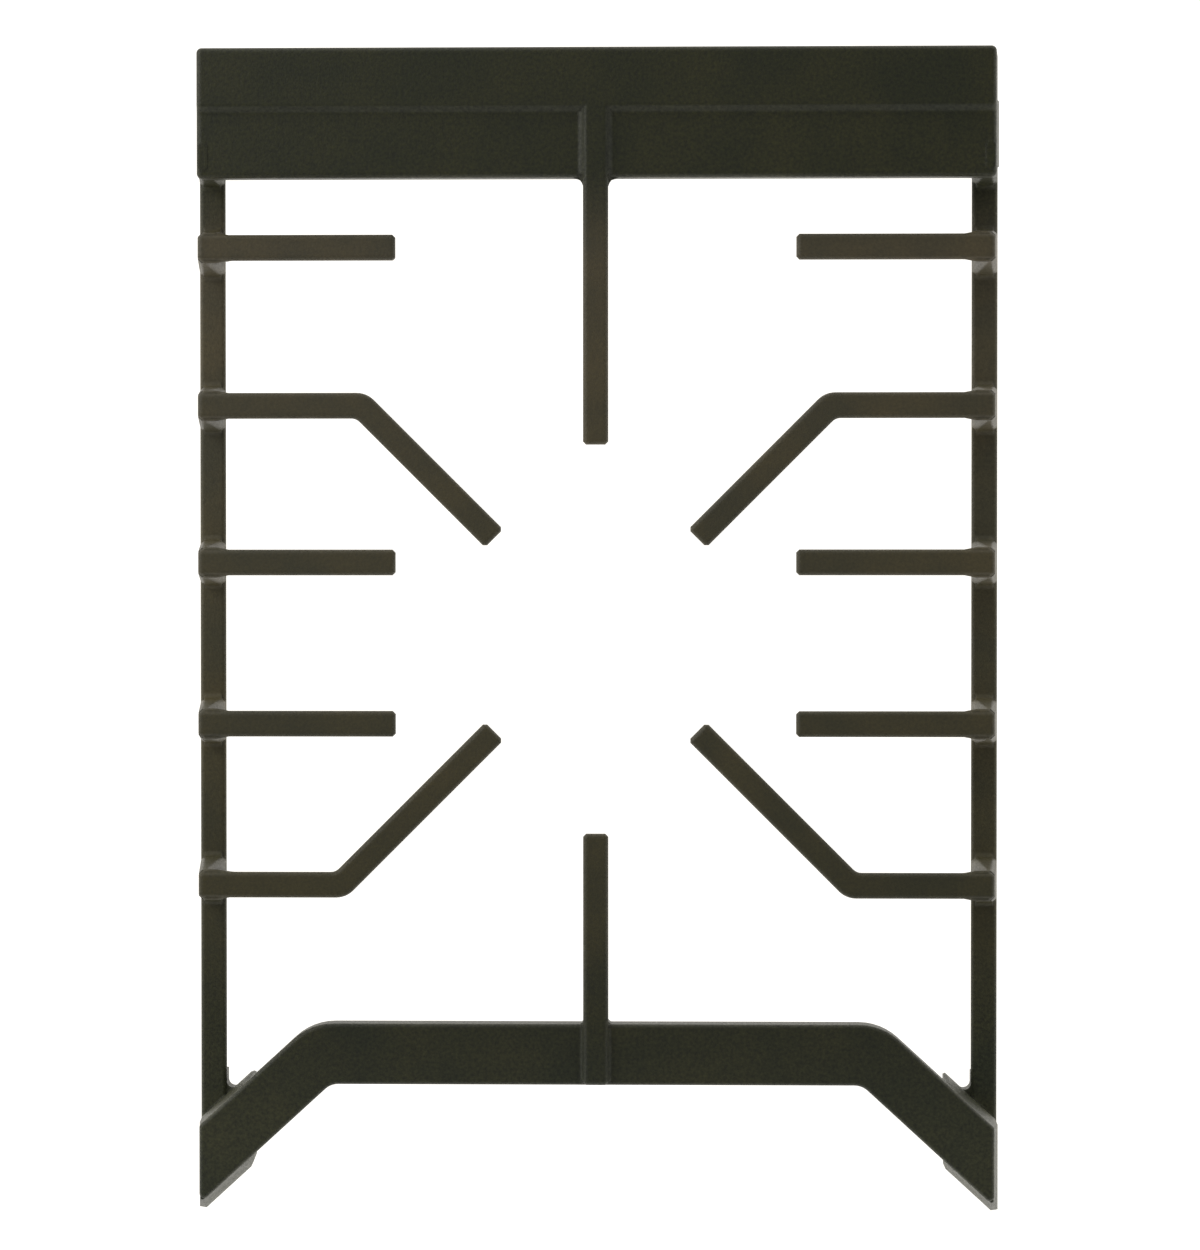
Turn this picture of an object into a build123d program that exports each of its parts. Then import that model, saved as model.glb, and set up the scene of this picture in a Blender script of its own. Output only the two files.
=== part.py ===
from build123d import *
import os
from math import atan2, cos, degrees, radians, sin, tan

# Overall sizes of the casting, in millimetres
WIDTH = 292.0  # across the side rails and the feet
LENGTH = 421.0  # rear face of the back bar to the tips of the front feet
HEIGHT = 46.0  # hob surface up to the plane the pan stands on

# Levels
SHELF_DROP = 2.2  # pan plane down to the top of the front bar and of the back bar's shelf
FRONT_BAR_HEIGHT = 10.0
BACK_BAR_HEIGHT = 14.0  # shelf down to the lower rim
FOOT_WIDE_Z = 18.0  # parting level, where the feet are widest
RAIL_TOP_Z = 15.5
RAIL_HEIGHT = 10.0

# Side draft: everything at the top stands in from the rails by this much
TOP_INSET = 3.0

# Rails
RAIL_WIDTH = 9.8
RAIL_DRAFT = 7.0
RAIL_EDGE = 1.4
RAIL_CORNER = 2.5  # in plan, where the rail opens into the front foot

# Side fingers, placed from the middle of the burner
SHORT_ROWS = (138.8, 26.0, -31.9)
BACK_BENT_Y = 82.2
FRONT_BENT_Y = -89.8
SHORT_TIP_X = 71.6
BENT_TIP_X = 36.3
BACK_BEND_X = 84.0
FRONT_BEND_X = 91.6
BEND_INSIDE = 4.0
BEND_OUTSIDE = 9.0
FINGER_WIDTH = 9.6
FINGER_DRAFT = 5.0
TIP_DEPTH = 9.5
TIP_CORNER = 1.2
TOP_EDGE = 1.7
LOW_EDGE = 1.0

# Finger roots: the swelling, the post with its saddle and the web behind it
ROOT_WIDTH = 11.2
ROOT_DEPTH = 13.5
ROOT_FLARE = 8.0  # how far before the rail the finger begins to swell
SHOULDER = 0.7
POST_CORNER = 1.3
SADDLE_RISE = 2.8
SADDLE_REACH = 3.0
WEB_REACH = 22.0
WEB_WIDTH = 7.2
WEB_DRAFT = 2.9

# Centre fingers
CENTRE_WIDTH = 9.4
BACK_TIP_Y = 68.0
FRONT_TIP_Y = -71.1
LEAVING_FILLET = 3.6  # in plan, where a centre finger leaves its bar
BACK_BLEND = 3.0  # width of the fillet between the back finger and the bar's shelf
FRONT_BLEND = 2.0

# Back bar
BACK_DEPTH = 46.8
BACK_LEAN = 0.8  # how far the front and rear walls draw in at the rim
STRIP_DEPTH = 21.1  # raised strip along the rear edge
BACK_EDGE = 2.0
BACK_END_EDGE = 1.8
BACK_WALL = 6.0
POCKET_DEPTH = 7.5
POCKET_CORNER = 5.0

# Front bar
FRONT_DEPTH = 21.9
INNER_BEND_X = 102.7
OUTER_BEND_X = 95.5
BAR_ANGLE = 42.5
INNER_BEND_R = 21.0
OUTER_BEND_R = 7.0
BAR_EDGE = 1.4
BAR_CORNER = 1.7  # in plan, at the ends over the feet

# Feet
FOOT_LENGTH = 19.9
FOOT_FLARE_FRONT = 2.4
FOOT_FLARE_INNER = 1.2
FOOT_FLARE_END = 2.0
FOOT_CORNER = 1.2
FOOT_DRAFT = 2.5
BACK_FOOT_DEPTH = 26.0
BACK_FOOT_FLARE = 1.5
BACK_FOOT_SETBACK = 5.0  # bar's front face to the widest part of the foot

# Parts that join are run into each other by this much, so that they fuse cleanly
BITE = 0.3

half_width = WIDTH / 2
top_half = half_width - TOP_INSET
rail_in = half_width - RAIL_WIDTH
lean = TOP_INSET / (HEIGHT - RAIL_TOP_Z)
shelf_z = HEIGHT - SHELF_DROP
front_bar_z = shelf_z - FRONT_BAR_HEIGHT
back_bar_z = shelf_z - BACK_BAR_HEIGHT
rail_bottom_z = RAIL_TOP_Z - RAIL_HEIGHT
rear_y = LENGTH / 2
back_front_y = rear_y - BACK_DEPTH
strip_front_y = rear_y - STRIP_DEPTH
back_foot_y = back_front_y + BACK_FOOT_SETBACK

# The front bar slants outwards at both ends. Its front face is set back from the tips of the feet.
slant = tan(radians(BAR_ANGLE))
along_slant = cos(radians(BAR_ANGLE))
inward = Vector(sin(radians(BAR_ANGLE)), along_slant)
nipped_off = FOOT_CORNER * inward.X
foot_reach = (half_width - OUTER_BEND_X) * slant + FOOT_FLARE_FRONT / along_slant - nipped_off
front_face_y = -LENGTH / 2 + foot_reach
front_inner_y = front_face_y + FRONT_DEPTH
inner_bend = Vector(INNER_BEND_X, front_inner_y)
outer_bend = Vector(OUTER_BEND_X, front_face_y)


def on_slant(start, x):
    """The point at this x on the slanted line that begins at start."""
    return Vector(x, start.Y - (x - start.X) * slant)


def draft_walls(level, angle):
    """Lean every upright wall by this angle about the line where it crosses this level."""
    walls = faces().filter_by(lambda face: abs(face.normal_at().Z) < 0.1)
    draft(walls, Plane.XY.offset(level), angle)


def cast_finger(underside):
    """Give a finger's walls their draft, trim it to its rising underside and roll over its top edge."""
    draft_walls(HEIGHT, -FINGER_DRAFT)
    split(bisect_by=underside, keep=Keep.TOP)
    fillet(faces().sort_by(Axis.Z)[-1].edges(), TOP_EDGE)


# A finger is drawn in plan on the pan plane and drawn down with draft, so it is widest along its top edge.
# Its underside rises evenly towards the burner.
half = FINGER_WIDTH / 2
root = ROOT_WIDTH / 2
draw_depth = 1.2 * ROOT_DEPTH
rise = (ROOT_DEPTH - TIP_DEPTH) / (top_half - BENT_TIP_X)
side_underside = Plane(origin=(top_half, 0, HEIGHT - ROOT_DEPTH), x_dir=(1, 0, -rise), z_dir=(rise, 0, 1))
with BuildPart() as short_finger:
    with BuildSketch(Plane.XY.offset(HEIGHT)) as plan:
        with Locations((SHORT_TIP_X, 0)):
            Rectangle(top_half - SHORT_TIP_X, FINGER_WIDTH, align=(Align.MIN, Align.CENTER))
        chamfer(plan.vertices(), TIP_CORNER)
    extrude(amount=-draw_depth)
    cast_finger(side_underside)

# The bent fingers run square off the rail, then turn half a right angle towards the burner.
bent_fingers = []
bends = ((BACK_BENT_Y, BACK_BEND_X, -1), (FRONT_BENT_Y, FRONT_BEND_X, 1))
mitre = half * tan(radians(22.5))
for row, bend_x, way in bends:
    tip = Vector(BENT_TIP_X, row + way * (bend_x - BENT_TIP_X))
    across = Vector(cos(radians(45)), way * sin(radians(45))) * half
    inside = Vector(bend_x + mitre, row + way * half)
    outside = Vector(bend_x - mitre, row - way * half)
    with BuildPart() as bent_finger:
        with BuildSketch(Plane.XY.offset(HEIGHT)) as plan:
            with BuildLine():
                Polyline(
                    tip + across,
                    inside,
                    (top_half, row + way * half),
                    (top_half, row - way * half),
                    outside,
                    tip - across,
                    close=True,
                )
            make_face()
            fillet(plan.vertices().sort_by_distance(inside)[0], BEND_INSIDE)
            fillet(plan.vertices().sort_by_distance(outside)[0], BEND_OUTSIDE)
            ends = plan.vertices().sort_by_distance(tip)[:2] + plan.vertices().group_by(Axis.X)[-1]
            chamfer(ends, TIP_CORNER)
        extrude(amount=-draw_depth)
        cast_finger(side_underside)
    bent_fingers.append(bent_finger)

# Over the rail the finger's flanks swell into its root, with a small shoulder under the rounded top edge.
root_end_x = top_half - TIP_CORNER
with BuildPart() as finger_root:
    with BuildSketch(Plane.XY.offset(HEIGHT)):
        with BuildLine():
            Polyline(
                (rail_in - ROOT_FLARE, half - SHOULDER),
                (rail_in, root),
                (root_end_x - TIP_CORNER, root),
                (root_end_x, half),
                (root_end_x, -half),
                (root_end_x - TIP_CORNER, -root),
                (rail_in, -root),
                (rail_in - ROOT_FLARE, SHOULDER - half),
                close=True,
            )
        make_face()
    extrude(amount=-draw_depth)
    draft_walls(HEIGHT, -FINGER_DRAFT)
    split(bisect_by=side_underside, keep=Keep.TOP)
    split(bisect_by=Plane.XY.offset(HEIGHT - TOP_EDGE / 2), keep=Keep.BOTTOM)
    chamfer(faces().sort_by(Axis.Z)[-1].edges(), SHOULDER)

# Each root stands on the rail by a post with draft on all four sides. Where the post meets the rail,
# a concave saddle sweeps out along the rail on both sides. The back bar's ends stand on the same posts.
post_top_z = HEIGHT - TOP_EDGE - BITE
sunk_z = RAIL_TOP_Z - RAIL_EDGE / 2
post_half = root - BITE + (post_top_z - sunk_z) * lean
with BuildPart() as post:
    with BuildSketch(Plane.XY.offset(sunk_z)):
        with Locations((half_width - RAIL_WIDTH / 2, 0)):
            Rectangle(RAIL_WIDTH - 2 * BITE, 2 * post_half)
    extrude(amount=post_top_z - sunk_z)
    draft_walls(sunk_z, degrees(atan2(lean, 1)))
    chamfer(edges().filter_by(lambda edge: edge.bounding_box().size.Z > 1), POST_CORNER)

saddle_z = RAIL_TOP_Z + SADDLE_RISE
saddle_half = post_half - (saddle_z - sunk_z) * lean
saddle_foot = saddle_half + SADDLE_REACH
run_out_z = RAIL_TOP_Z - BITE / 3
back_post_y = back_front_y - SADDLE_REACH + saddle_foot
with BuildPart() as saddle:
    with BuildSketch(Plane.YZ.offset(half_width - RAIL_WIDTH / 2)):
        with BuildLine():
            Line((-saddle_half, saddle_z), (saddle_half, saddle_z))
            TangentArc((saddle_foot, run_out_z), (saddle_half, saddle_z), tangent=(-1, 0))
            Polyline(
                (saddle_foot, run_out_z),
                (saddle_foot, sunk_z),
                (-saddle_foot, sunk_z),
                (-saddle_foot, run_out_z),
            )
            TangentArc((-saddle_foot, run_out_z), (-saddle_half, saddle_z), tangent=(1, 0))
        make_face()
    extrude(amount=RAIL_WIDTH / 2 - BITE - POST_CORNER, both=True)

# Behind each post a web runs from the rail up to the underside of the finger in one sweep.
web_tip = (rail_in - WEB_REACH, HEIGHT - TIP_DEPTH)
web_foot = (rail_in, rail_bottom_z + RAIL_HEIGHT / 3)
web_back_x = rail_in + RAIL_WIDTH / 2
web_half = WEB_WIDTH / 2
web_low_half = web_half - (web_tip[1] - rail_bottom_z) * tan(radians(WEB_DRAFT))
with BuildPart() as web:
    with BuildSketch(Plane.XZ):
        with BuildLine():
            Polyline(web_tip, (web_back_x, web_tip[1]), (web_back_x, web_foot[1]), web_foot)
            TangentArc(web_foot, web_tip, tangent=(-lean, 1))
        make_face()
    extrude(amount=web_half, both=True)
    with BuildSketch(Plane.YZ.offset(web_tip[0] - BITE)):
        with BuildLine():
            Polyline(
                (-web_half, web_tip[1]),
                (web_half, web_tip[1]),
                (web_low_half, rail_bottom_z),
                (-web_low_half, rail_bottom_z),
                close=True,
            )
        make_face()
    extrude(amount=WEB_REACH + RAIL_WIDTH, mode=Mode.INTERSECT)

# The side rail is a low bar, widest along its top edge. It runs from under the back bar into the front
# foot, and opens into the foot with a rounded corner.
rail_lean = RAIL_HEIGHT * tan(radians(RAIL_DRAFT))
rail_back_y = back_foot_y + BACK_FOOT_DEPTH / 3
rail_corner = on_slant(inner_bend + inward * (FOOT_FLARE_INNER / 2), rail_in + BITE)
foot_middle = inner_bend - inward * (FRONT_DEPTH / 3)
with BuildPart() as rail:
    with BuildSketch(Plane.XZ.offset(-rail_back_y)) as section:
        with BuildLine():
            Polyline(
                (rail_in, RAIL_TOP_Z),
                (half_width, RAIL_TOP_Z),
                (half_width - rail_lean, rail_bottom_z),
                (rail_in + rail_lean, rail_bottom_z),
                close=True,
            )
        make_face()
        fillet(section.vertices(), RAIL_EDGE)
    extrude(amount=rail_back_y - on_slant(foot_middle, half_width).Y)
    with BuildSketch(Plane.XY.offset(RAIL_TOP_Z - RAIL_EDGE / 2)) as plan:
        with BuildLine():
            Polyline(
                rail_corner + Vector(0, RAIL_WIDTH),
                rail_corner,
                on_slant(rail_corner, rail_in - RAIL_WIDTH * 0.7),
                on_slant(foot_middle, rail_in - RAIL_WIDTH * 0.7),
                on_slant(foot_middle, rail_in + RAIL_WIDTH / 2),
                (rail_in + RAIL_WIDTH / 2, rail_corner.Y + RAIL_WIDTH),
                close=True,
            )
        make_face()
        fillet(plan.vertices().sort_by_distance(rail_corner)[0], RAIL_CORNER)
    extrude(amount=1.5 * RAIL_EDGE - RAIL_HEIGHT)


def foot_outline(front, inner, outer_x, inner_x):
    """Four corners of the front foot in plan for this flare beyond the bar's two walls."""
    inner_line = inner_bend + inward * inner
    front_line = outer_bend - inward * front
    return (
        on_slant(inner_line, outer_x),
        on_slant(inner_line, inner_x),
        on_slant(front_line, inner_x),
        on_slant(front_line, outer_x),
    )


# The front foot is a skewed block under the end of the bar: from its sole it flares out on every side
# up to the parting level and draws in again to the bar.
foot_in_x = half_width - FOOT_LENGTH
sole = FOOT_WIDE_Z * tan(radians(FOOT_DRAFT))
foot_levels = ((0, sole + LOW_EDGE), (LOW_EDGE, sole), (FOOT_WIDE_Z, 0))
with BuildPart() as front_foot:
    for level, inset in foot_levels:
        with BuildSketch(Plane.XY.offset(level)) as outline:
            with BuildLine():
                Polyline(
                    *foot_outline(
                        FOOT_FLARE_FRONT - inset,
                        FOOT_FLARE_INNER - inset,
                        half_width - inset,
                        foot_in_x + inset,
                    ),
                    close=True,
                )
            make_face()
            chamfer(outline.vertices(), FOOT_CORNER)
    with BuildSketch(Plane.XY.offset(shelf_z - BAR_EDGE - BITE)) as outline:
        with BuildLine():
            Polyline(*foot_outline(-BITE, -BITE, top_half - BITE, foot_in_x + FOOT_FLARE_END), close=True)
        make_face()
        chamfer(outline.vertices(), FOOT_CORNER)
    loft(ruled=True)

# The back foot is a square block under the corner of the back bar, drafted the same way.
with BuildPart() as back_foot:
    for level, inset in foot_levels:
        with BuildSketch(Plane.XY.offset(level)) as outline:
            with Locations((half_width - inset, back_foot_y + inset)):
                Rectangle(
                    FOOT_LENGTH - 2 * inset,
                    BACK_FOOT_DEPTH - 2 * inset,
                    align=(Align.MAX, Align.MIN),
                )
            chamfer(outline.vertices(), FOOT_CORNER)
    with BuildSketch(Plane.XY.offset(shelf_z - BACK_EDGE - BITE)) as outline:
        with Locations((top_half - BITE, back_foot_y + BACK_FOOT_FLARE)):
            Rectangle(
                FOOT_LENGTH - TOP_INSET - FOOT_FLARE_END,
                BACK_FOOT_DEPTH - 2 * BACK_FOOT_FLARE,
                align=(Align.MAX, Align.MIN),
            )
        chamfer(outline.vertices(), FOOT_CORNER)
    loft(ruled=True)

# The back bar is a wide inverted channel: a shelf in front, a raised strip along the rear edge with its top
# in the pan plane, and walls round a pocket underneath.
rim_half = top_half + (HEIGHT - back_bar_z) * lean
with BuildPart() as back_bar:
    with BuildSketch(Plane.YZ.offset(-rim_half)) as section:
        with BuildLine():
            Polyline(
                (back_front_y + BACK_LEAN, back_bar_z),
                (back_front_y, shelf_z),
                (strip_front_y - SHELF_DROP, shelf_z),
                (strip_front_y, HEIGHT),
                (rear_y, HEIGHT),
                (rear_y - BACK_LEAN, back_bar_z),
                close=True,
            )
        make_face()
        crest = section.vertices().filter_by_position(Axis.Y, HEIGHT - 0.1, HEIGHT + 0.1).sort_by(Axis.X)
        shelf = section.vertices().filter_by_position(Axis.Y, shelf_z - 0.1, shelf_z + 0.1).sort_by(Axis.X)
        fillet([shelf[0], shelf[-1], crest[0], crest[-1]], BACK_EDGE)
    extrude(amount=2 * rim_half)
    with BuildSketch(Plane.XZ.offset(-rear_y)):
        with BuildLine():
            Polyline(
                (-rim_half, back_bar_z),
                (rim_half, back_bar_z),
                (top_half, HEIGHT),
                (-top_half, HEIGHT),
                close=True,
            )
        make_face()
    extrude(amount=BACK_DEPTH + BITE, mode=Mode.INTERSECT)
    end_edges = faces().sort_by(Axis.X)[0].edges() + faces().sort_by(Axis.X)[-1].edges()
    fillet(end_edges.filter_by(lambda e: e.center().Z > back_bar_z + 0.1), BACK_END_EDGE)
    with BuildSketch(Plane.XY.offset(back_bar_z)):
        with Locations((0, rear_y - BACK_DEPTH / 2)):
            RectangleRounded(
                2 * (foot_in_x - BACK_WALL),
                BACK_DEPTH - 2 * (BACK_WALL + BACK_LEAN),
                POCKET_CORNER,
            )
    extrude(amount=POCKET_DEPTH, mode=Mode.SUBTRACT)

# The front bar runs straight across and slants out to the feet, leaving room for the controls before it.
with BuildPart() as front_bar:
    with BuildSketch(Plane.XY.offset(front_bar_z)) as plan:
        with BuildLine():
            Polyline(
                (0, front_inner_y),
                inner_bend,
                on_slant(inner_bend, top_half),
                on_slant(outer_bend, top_half),
                outer_bend,
                (0, front_face_y),
                close=True,
            )
        make_face()
        fillet(plan.vertices().sort_by_distance(inner_bend)[0], INNER_BEND_R)
        fillet(plan.vertices().sort_by_distance(outer_bend)[0], OUTER_BEND_R)
        fillet(plan.vertices().group_by(Axis.X)[-1], BAR_CORNER)
        mirror(about=Plane.YZ)
    extrude(amount=FRONT_BAR_HEIGHT)
    fillet(faces().sort_by(Axis.Z)[-1].edges(), BAR_EDGE)

# The two centre fingers cross the bars at the pan plane. A side fillet blends each one into the bar top,
# and a rounded corner widens it where it leaves the bar.
centre = CENTRE_WIDTH / 2
centre_runs = (
    (rear_y - BACK_WALL / 2, back_front_y, BACK_TIP_Y, strip_front_y, BACK_BLEND, -1),
    (front_face_y, front_inner_y, FRONT_TIP_Y, front_face_y + BAR_EDGE, FRONT_BLEND, 1),
)
flank = centre - ROOT_DEPTH * tan(radians(FINGER_DRAFT))
centre_fingers = []
for start_y, leave_y, tip_y, blend_y, blend, way in centre_runs:
    rise = way * (ROOT_DEPTH - TIP_DEPTH) / abs(tip_y - leave_y)
    underside = Plane(origin=(0, leave_y, HEIGHT - ROOT_DEPTH), x_dir=(1, 0, 0), z_dir=(0, -rise, 1))
    with BuildPart() as centre_finger:
        with BuildSketch(Plane.XY.offset(HEIGHT)) as plan:
            with Locations((0, (start_y + tip_y) / 2)):
                Rectangle(CENTRE_WIDTH, abs(tip_y - start_y))
            chamfer(plan.vertices(), TIP_CORNER)
        extrude(amount=-draw_depth)
        cast_finger(underside)
        with BuildSketch(Plane.XZ.offset(-blend_y)):
            with BuildLine():
                low = shelf_z - BITE
                high = HEIGHT - TOP_EDGE / 2
                side = centre - BITE
                Line((-side, high), (side, high))
                TangentArc((side + blend, low), (side, high), tangent=(-1, 0.15))
                Line((side + blend, low), (-side - blend, low))
                TangentArc((-side - blend, low), (-side, high), tangent=(1, 0.15))
            make_face()
        extrude(amount=-way * (abs(leave_y - blend_y) - BAR_EDGE))
    with BuildPart() as corner:
        with BuildSketch(Plane.XY.offset(front_bar_z + LOW_EDGE + BITE)) as plan:
            with Locations((0, leave_y + way * LEAVING_FILLET / 2)):
                Rectangle(2 * flank, 3 * LEAVING_FILLET)
            with Locations((0, leave_y - way * LEAVING_FILLET / 2)):
                Rectangle(2 * flank + 3 * LEAVING_FILLET, LEAVING_FILLET - 2 * BITE)
            mouth = plan.vertices().filter_by_position(Axis.X, -centre, centre)
            mouth_y = leave_y - way * BITE
            fillet(mouth.filter_by_position(Axis.Y, mouth_y - BITE, mouth_y + BITE), LEAVING_FILLET)
        extrude(amount=shelf_z - front_bar_z - LOW_EDGE - 2 * BITE)
        chamfer(faces().sort_by(Axis.Z)[-1].edges().filter_by(GeomType.CIRCLE), BAR_EDGE)
    centre_fingers += [centre_finger, corner]

# One casting: the right-hand side is put together, mirrored and joined to the two bars.
with BuildPart() as side:
    add(rail.part)
    with Locations(*[(0, y, 0) for y in (*SHORT_ROWS, BACK_BENT_Y, FRONT_BENT_Y)]):
        add(finger_root.part)
        add(post.part)
        add(saddle.part)
        add(web.part)
    with Locations((0, back_post_y, 0)):
        add(post.part)
        add(saddle.part)
    with Locations(*[(0, y, 0) for y in SHORT_ROWS]):
        add(short_finger.part)
    for bent_finger in bent_fingers:
        add(bent_finger.part)
    add(front_foot.part)
    add(back_foot.part)
    mirror(about=Plane.YZ)

with BuildPart() as pan_support:
    add(back_bar.part)
    add(front_bar.part)
    for centre_finger in centre_fingers:
        add(centre_finger.part)
    add(side.part)

pan_support.part.label = "pan_support"
os.makedirs("parts", exist_ok=True)
export_step(pan_support.part, "parts/pan_support.step")
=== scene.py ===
from math import radians

import bmesh
import bpy
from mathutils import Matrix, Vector
from numpy import interp


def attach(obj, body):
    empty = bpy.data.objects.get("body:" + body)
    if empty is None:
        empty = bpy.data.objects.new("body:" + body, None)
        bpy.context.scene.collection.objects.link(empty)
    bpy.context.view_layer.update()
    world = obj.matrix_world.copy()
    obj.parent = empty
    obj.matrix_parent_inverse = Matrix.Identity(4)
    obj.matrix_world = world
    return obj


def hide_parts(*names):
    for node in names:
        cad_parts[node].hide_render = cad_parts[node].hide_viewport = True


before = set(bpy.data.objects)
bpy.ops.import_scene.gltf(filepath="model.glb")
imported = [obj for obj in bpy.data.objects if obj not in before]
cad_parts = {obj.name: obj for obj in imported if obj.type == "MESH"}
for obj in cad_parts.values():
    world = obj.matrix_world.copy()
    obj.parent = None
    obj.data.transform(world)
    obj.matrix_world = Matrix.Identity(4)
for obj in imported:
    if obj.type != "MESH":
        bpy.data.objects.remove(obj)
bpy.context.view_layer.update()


# The pan support: one sand casting in grey iron under a matt black porcelain enamel, sprayed on and fired.
# The glaze is slightly olive, finely pebbled like orange peel and a little duller in its hollows. It runs
# over every edge, so no corner of the casting is sharp. The support stands loose on its four feet.
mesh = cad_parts["pan_support"].data.copy()
mesh.name = "casting"
if "custom_normal" in mesh.attributes:
    mesh.attributes.remove(mesh.attributes["custom_normal"])
skin = bmesh.new()
skin.from_mesh(mesh)
bmesh.ops.remove_doubles(skin, verts=skin.verts, dist=0.00001)

# The front feet flare a millimetre further forward below a crease in their front flank, and their tips
# are cut blunter. Only points on the flank move; those on the outer wall stay.
crease, widest = 0.0287, 0.018  # heights: the flare begins at the one and is full at the other
most_flare, tip_slope = 0.0015, 1.09  # forward, and how much of it the tip draws in
flank_x, flank_y = 0.676, 0.737  # square to the flank, seen from above
tip_x, tip_y = 0.146, 0.2113  # where the flank meets the outer wall
flank_depth, foot_start, tip_start = 0.003, 0.190, 0.143
wall_above, wall_at_sole = 0.14515, 0.144
sole, crease_slack = 0.0005, 0.0005
for point in skin.verts:
    out, ahead, up = abs(point.co.x), -point.co.y, point.co.z
    behind_flank = flank_x * (out - tip_x) - flank_y * (ahead - tip_y)
    outer_wall = wall_above if up > sole else wall_at_sole
    on_flank = behind_flank < flank_depth and ahead > foot_start and out < outer_wall
    if on_flank and up < crease - crease_slack:
        flare = most_flare * min(1.0, (crease - up) / (crease - widest))
        if out > tip_start:
            point.co.x *= 1 - tip_slope * flare / out
        else:
            point.co.y -= flare

# The two corners where the back centre finger leaves its bar are as wide at the top as they are low down:
# the spread at each level makes up for the finger's draft, and the hollow keeps the corner concave
levels = (0.03510, 0.03855, 0.03864, 0.03883, 0.03912, 0.03995, 0.04170, 0.04211, 0.04330)
spreads = (1.13, 1.24, 1.32, 1.405, 1.495, 1.735, 2.265, 2.265, 1.0)
corner_low, corner_high, corner_ahead, corner_out = 0.0350, 0.0433, 0.161, 0.0072
half_finger, finger_draft = 0.00375, 0.0871  # at the lowest level, and how it grows upwards
bar_wall, bar_lean, lean_start = 0.1640, 0.055, 0.0386  # the bar's front wall leans above lean_start
wall_slack, side_slack = 0.00005, 0.00002
stretch, hollowing = 1.4, 1.1  # longer along the finger than along the bar, and concave
for point in skin.verts:
    out, back, up = abs(point.co.x), point.co.y, point.co.z
    finger_side = half_finger + finger_draft * (up - levels[0])
    bar_front = bar_wall - bar_lean * max(0.0, up - lean_start)
    beside_finger = finger_side - side_slack < out < corner_out
    before_bar = corner_ahead < back < bar_front + wall_slack
    if corner_low < up < corner_high and before_bar and beside_finger:
        spread = interp(up, levels, spreads)
        across = spread * (out - finger_side)
        forward = max(0.0, stretch * spread * (bar_front - back))
        hollow = 1 - hollowing * across * forward / (across + forward) ** 2
        point.co.x *= (finger_side + hollow * across) / out
        point.co.y = max(bar_front, back) - hollow * forward
skin.to_mesh(mesh)
skin.free()
mesh.shade_smooth()
mesh.set_sharp_from_angle(angle=radians(24))

casting = bpy.data.objects.new("casting", mesh)
bpy.context.scene.collection.objects.link(casting)
flats = casting.modifiers.new("flat_faces_stay_flat", "WEIGHTED_NORMAL")
flats.keep_sharp = True
flats.weight = 80

enamel = bpy.data.materials.new("matt_enamel")
enamel.use_nodes = True
nodes, links = enamel.node_tree.nodes, enamel.node_tree.links
glaze = nodes["Principled BSDF"]
glaze.inputs["Specular IOR Level"].default_value = 0.4
place = nodes.new("ShaderNodeTexCoord")

# Broad clouds, a few centimetres across, where the spray lay thicker
cloud = nodes.new("ShaderNodeTexNoise")
cloud.name = "spray_clouds"
cloud.inputs["Scale"].default_value = 34.0
cloud.inputs["Detail"].default_value = 3.0
cloud.inputs["Roughness"].default_value = 0.55
links.new(place.outputs["Object"], cloud.inputs["Vector"])

# Grains of the cast skin showing through, about a millimetre across
grain = nodes.new("ShaderNodeTexNoise")
grain.name = "cast_grain"
grain.inputs["Scale"].default_value = 850.0
grain.inputs["Detail"].default_value = 4.0
grain.inputs["Roughness"].default_value = 0.62
links.new(place.outputs["Object"], grain.inputs["Vector"])

# Pebbles of the fired glaze, about half a millimetre across
pebble = nodes.new("ShaderNodeTexVoronoi")
pebble.name = "glaze_pebbles"
pebble.inputs["Scale"].default_value = 1500.0
links.new(place.outputs["Object"], pebble.inputs["Vector"])

tint = nodes.new("ShaderNodeValToRGB")
tint.name = "cloud_tint"
tint.color_ramp.elements[0].position = 0.34
tint.color_ramp.elements[0].color = (0.0240, 0.0262, 0.0130, 1)
tint.color_ramp.elements[1].position = 0.68
tint.color_ramp.elements[1].color = (0.0350, 0.0345, 0.0150, 1)
links.new(cloud.outputs["Fac"], tint.inputs["Fac"])

speck = nodes.new("ShaderNodeValToRGB")
speck.name = "grain_specks"
speck.color_ramp.elements[0].position = 0.34
speck.color_ramp.elements[0].color = (0.60, 0.60, 0.60, 1)
speck.color_ramp.elements[1].position = 0.72
speck.color_ramp.elements[1].color = (1.52, 1.50, 1.47, 1)
links.new(grain.outputs["Fac"], speck.inputs["Fac"])

# Painted light: the slim fingers and rails are painted lighter and browner than the heavy bars, more so
# towards the back, as if lit from behind; a ramp from the front feet to the back edge carries it, with a
# painted lift on the low rails
where = nodes.new("ShaderNodeSeparateXYZ")
links.new(place.outputs["Object"], where.inputs["Vector"])
depth = nodes.new("ShaderNodeMapRange")
depth.name = "front_feet_to_back_edge"
depth.inputs["From Min"].default_value = -0.2105
depth.inputs["From Max"].default_value = 0.2105
links.new(where.outputs["Y"], depth.inputs["Value"])
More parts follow.
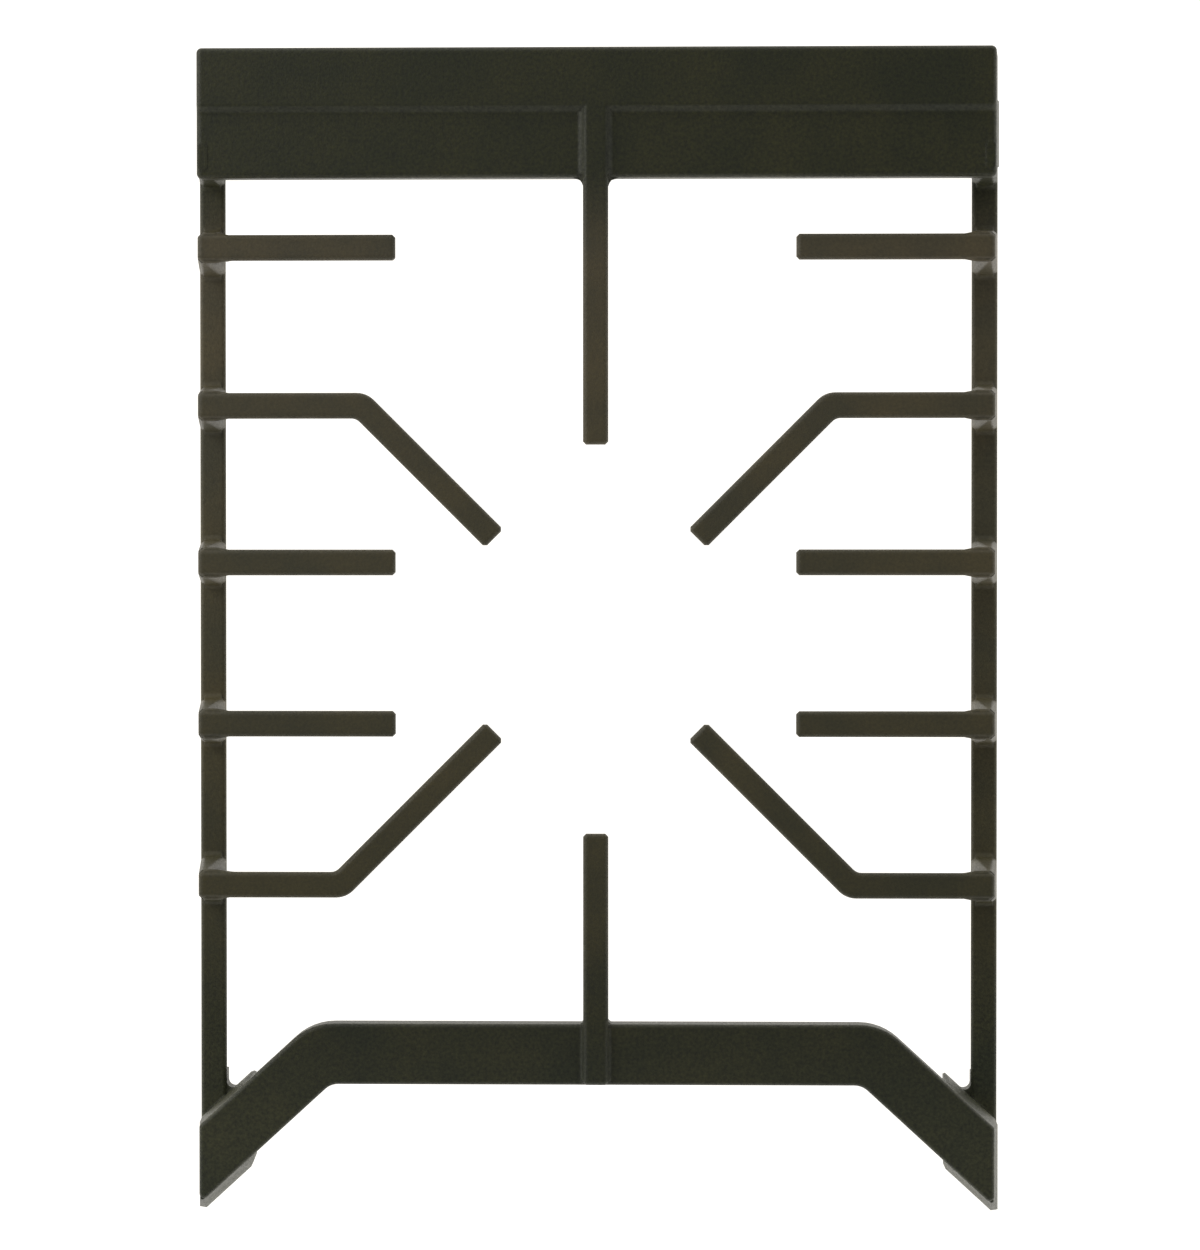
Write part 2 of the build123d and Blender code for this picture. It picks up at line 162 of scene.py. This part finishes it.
# Painted light: this ramp paints the fingers lighter than the bars, the more so the further back they lie
painted_light_ramp = nodes.new("ShaderNodeValToRGB")
painted_light_ramp.name = "painted_light_by_section"
painted_light_ramp.color_ramp.elements[0].position = 0.06
painted_light_ramp.color_ramp.elements[0].color = (1.30, 1.34, 1.50, 1.0)
painted_light_ramp.color_ramp.elements[1].position = 0.895
painted_light_ramp.color_ramp.elements[1].color = (0.92, 0.94, 0.82, 1.0)
front_bar = painted_light_ramp.color_ramp.elements.new(0.165)
front_bar.color = (0.94, 0.96, 0.96, 1.0)
front_finger = painted_light_ramp.color_ramp.elements.new(0.25)
front_finger.color = (1.58, 1.40, 1.42, 0.5)
middle = painted_light_ramp.color_ramp.elements.new(0.56)
middle.color = (2.18, 1.83, 2.04, 0.4)
back_row = painted_light_ramp.color_ramp.elements.new(0.83)
back_row.color = (2.46, 2.02, 2.44, 0.4)
links.new(depth.outputs["Result"], painted_light_ramp.inputs["Fac"])
# Painted light on the low rails, standing in for light that the fingers shade off them
painted_rail_lift = nodes.new("ShaderNodeMapRange")
painted_rail_lift.name = "painted_light_on_low_rails"
painted_rail_lift.inputs["From Min"].default_value = 0.017
painted_rail_lift.inputs["From Max"].default_value = 0.030
painted_rail_lift.inputs["To Min"].default_value = 1.28
painted_rail_lift.inputs["To Max"].default_value = 1.0
links.new(where.outputs["Z"], painted_rail_lift.inputs["Value"])
# The painted light, times the painted lift on the low rails
painted_light_total = nodes.new("ShaderNodeVectorMath")
painted_light_total.name = "painted_light_by_height"
painted_light_total.operation = "SCALE"
links.new(painted_light_ramp.outputs["Color"], painted_light_total.inputs["Vector"])
links.new(painted_rail_lift.outputs["Result"], painted_light_total.inputs["Scale"])

toned = nodes.new("ShaderNodeMix")
toned.name = "clouds_times_painted_light"
toned.data_type = "RGBA"
toned.blend_type = "MULTIPLY"
toned.inputs["Factor"].default_value = 1.0
links.new(tint.outputs["Color"], toned.inputs["A"])
links.new(painted_light_total.outputs["Vector"], toned.inputs["B"])

colour = nodes.new("ShaderNodeMix")
colour.name = "tone_times_specks"
colour.data_type = "RGBA"
colour.blend_type = "MULTIPLY"
links.new(painted_light_ramp.outputs["Alpha"], colour.inputs["Factor"])
links.new(toned.outputs["Result"], colour.inputs["A"])
links.new(speck.outputs["Color"], colour.inputs["B"])
links.new(colour.outputs["Result"], glaze.inputs["Base Color"])

dull = nodes.new("ShaderNodeMapRange")
dull.name = "dull_hollows"
dull.inputs["From Min"].default_value = 0.30
dull.inputs["From Max"].default_value = 0.70
dull.inputs["To Min"].default_value = 0.58
dull.inputs["To Max"].default_value = 0.40
links.new(grain.outputs["Fac"], dull.inputs["Value"])
links.new(dull.outputs["Result"], glaze.inputs["Roughness"])

# The glaze rounds off every edge of the casting
flow = nodes.new("ShaderNodeBevel")
flow.name = "glaze_over_edges"
flow.samples = 4
flow.inputs["Radius"].default_value = 0.0012

grain_bump = nodes.new("ShaderNodeBump")
grain_bump.name = "grain_bump"
grain_bump.inputs["Strength"].default_value = 0.35
grain_bump.inputs["Distance"].default_value = 0.00020
links.new(grain.outputs["Fac"], grain_bump.inputs["Height"])
links.new(flow.outputs["Normal"], grain_bump.inputs["Normal"])

pebble_bump = nodes.new("ShaderNodeBump")
pebble_bump.name = "pebble_bump"
pebble_bump.invert = True
pebble_bump.inputs["Strength"].default_value = 0.28
pebble_bump.inputs["Distance"].default_value = 0.00016
links.new(pebble.outputs["Distance"], pebble_bump.inputs["Height"])
links.new(grain_bump.outputs["Normal"], pebble_bump.inputs["Normal"])
links.new(pebble_bump.outputs["Normal"], glaze.inputs["Normal"])

mesh.materials.clear()
mesh.materials.append(enamel)
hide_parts("pan_support")
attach(casting, "root")


# The floor: a plain white sheet of opal plastic on a light table, glowing softly from below.
# It only gives light, so no shadow falls on it.
reach = 3.0
sheet = bpy.data.meshes.new("floor")
corners = [(-reach, -reach, 0), (reach, -reach, 0), (reach, reach, 0), (-reach, reach, 0)]
sheet.from_pydata(corners, [], [(0, 1, 2, 3)])
floor = bpy.data.objects.new("floor", sheet)
bpy.context.scene.collection.objects.link(floor)
opal = bpy.data.materials.new("opal_sheet")
opal.use_nodes = True
surface = opal.node_tree.nodes["Principled BSDF"]
surface.inputs["Base Color"].default_value = (0, 0, 0, 1)
surface.inputs["Specular IOR Level"].default_value = 0.0
surface.inputs["Emission Color"].default_value = (1.0, 0.975, 0.93, 1)
surface.inputs["Emission Strength"].default_value = 1.25
sheet.materials.append(opal)


# The light: a tent of white cloth round the table, bright at the sides and dim overhead, where the camera
# looks in, with a soft panel behind on the left.
world = bpy.data.worlds.new("light_tent")
bpy.context.scene.world = world
world.use_nodes = True
tent, tent_links = world.node_tree.nodes, world.node_tree.links
way = tent.new("ShaderNodeTexCoord")
height = tent.new("ShaderNodeSeparateXYZ")
tent_links.new(way.outputs["Generated"], height.inputs["Vector"])
wall = tent.new("ShaderNodeValToRGB")
wall.name = "bright_sides_dim_top"
wall.color_ramp.interpolation = "EASE"
wall.color_ramp.elements[0].position = 0.0
wall.color_ramp.elements[0].color = (0.64, 0.64, 0.64, 1)
wall.color_ramp.elements[1].position = 0.72
wall.color_ramp.elements[1].color = (0.095, 0.095, 0.095, 1)
shoulder = wall.color_ramp.elements.new(0.26)
shoulder.color = (0.78, 0.78, 0.78, 1)
tent_links.new(height.outputs["Z"], wall.inputs["Fac"])
cloth = tent["Background"]
cloth.inputs["Strength"].default_value = 1.6
tent_links.new(wall.outputs["Color"], cloth.inputs["Color"])

panel_light = bpy.data.lights.new("back_left_panel", "AREA")
panel_light.energy = 7.0
panel_light.size = 0.9
panel = bpy.data.objects.new("back_left_panel", panel_light)
panel.location = (-1.00, 0.60, 0.90)
panel.rotation_mode = "QUATERNION"
panel.rotation_quaternion = (-panel.location).to_track_quat("-Z", "Y")
bpy.context.scene.collection.objects.link(panel)


# The camera: a long lens looking almost straight down, a little right of and behind the middle of the
# support, and unrolled about its own axis.
stand = Vector((0.0374, 0.0251, 1.446))
aim = Vector((0.0016, 0.0036, 0.046))
lens = bpy.data.cameras.new("camera")
lens.sensor_width = 36.0
focal_px, frame_px = 3913, 1250  # focal length and height of the picture
lens.lens = focal_px / frame_px * lens.sensor_width
camera = bpy.data.objects.new("camera", lens)
camera.location = stand
camera.rotation_mode = "QUATERNION"
camera.rotation_quaternion = Vector((0, 0, -1)).rotation_difference(aim - stand)
bpy.context.scene.collection.objects.link(camera)
bpy.context.scene.camera = camera
bpy.context.scene.view_settings.view_transform = "Standard"
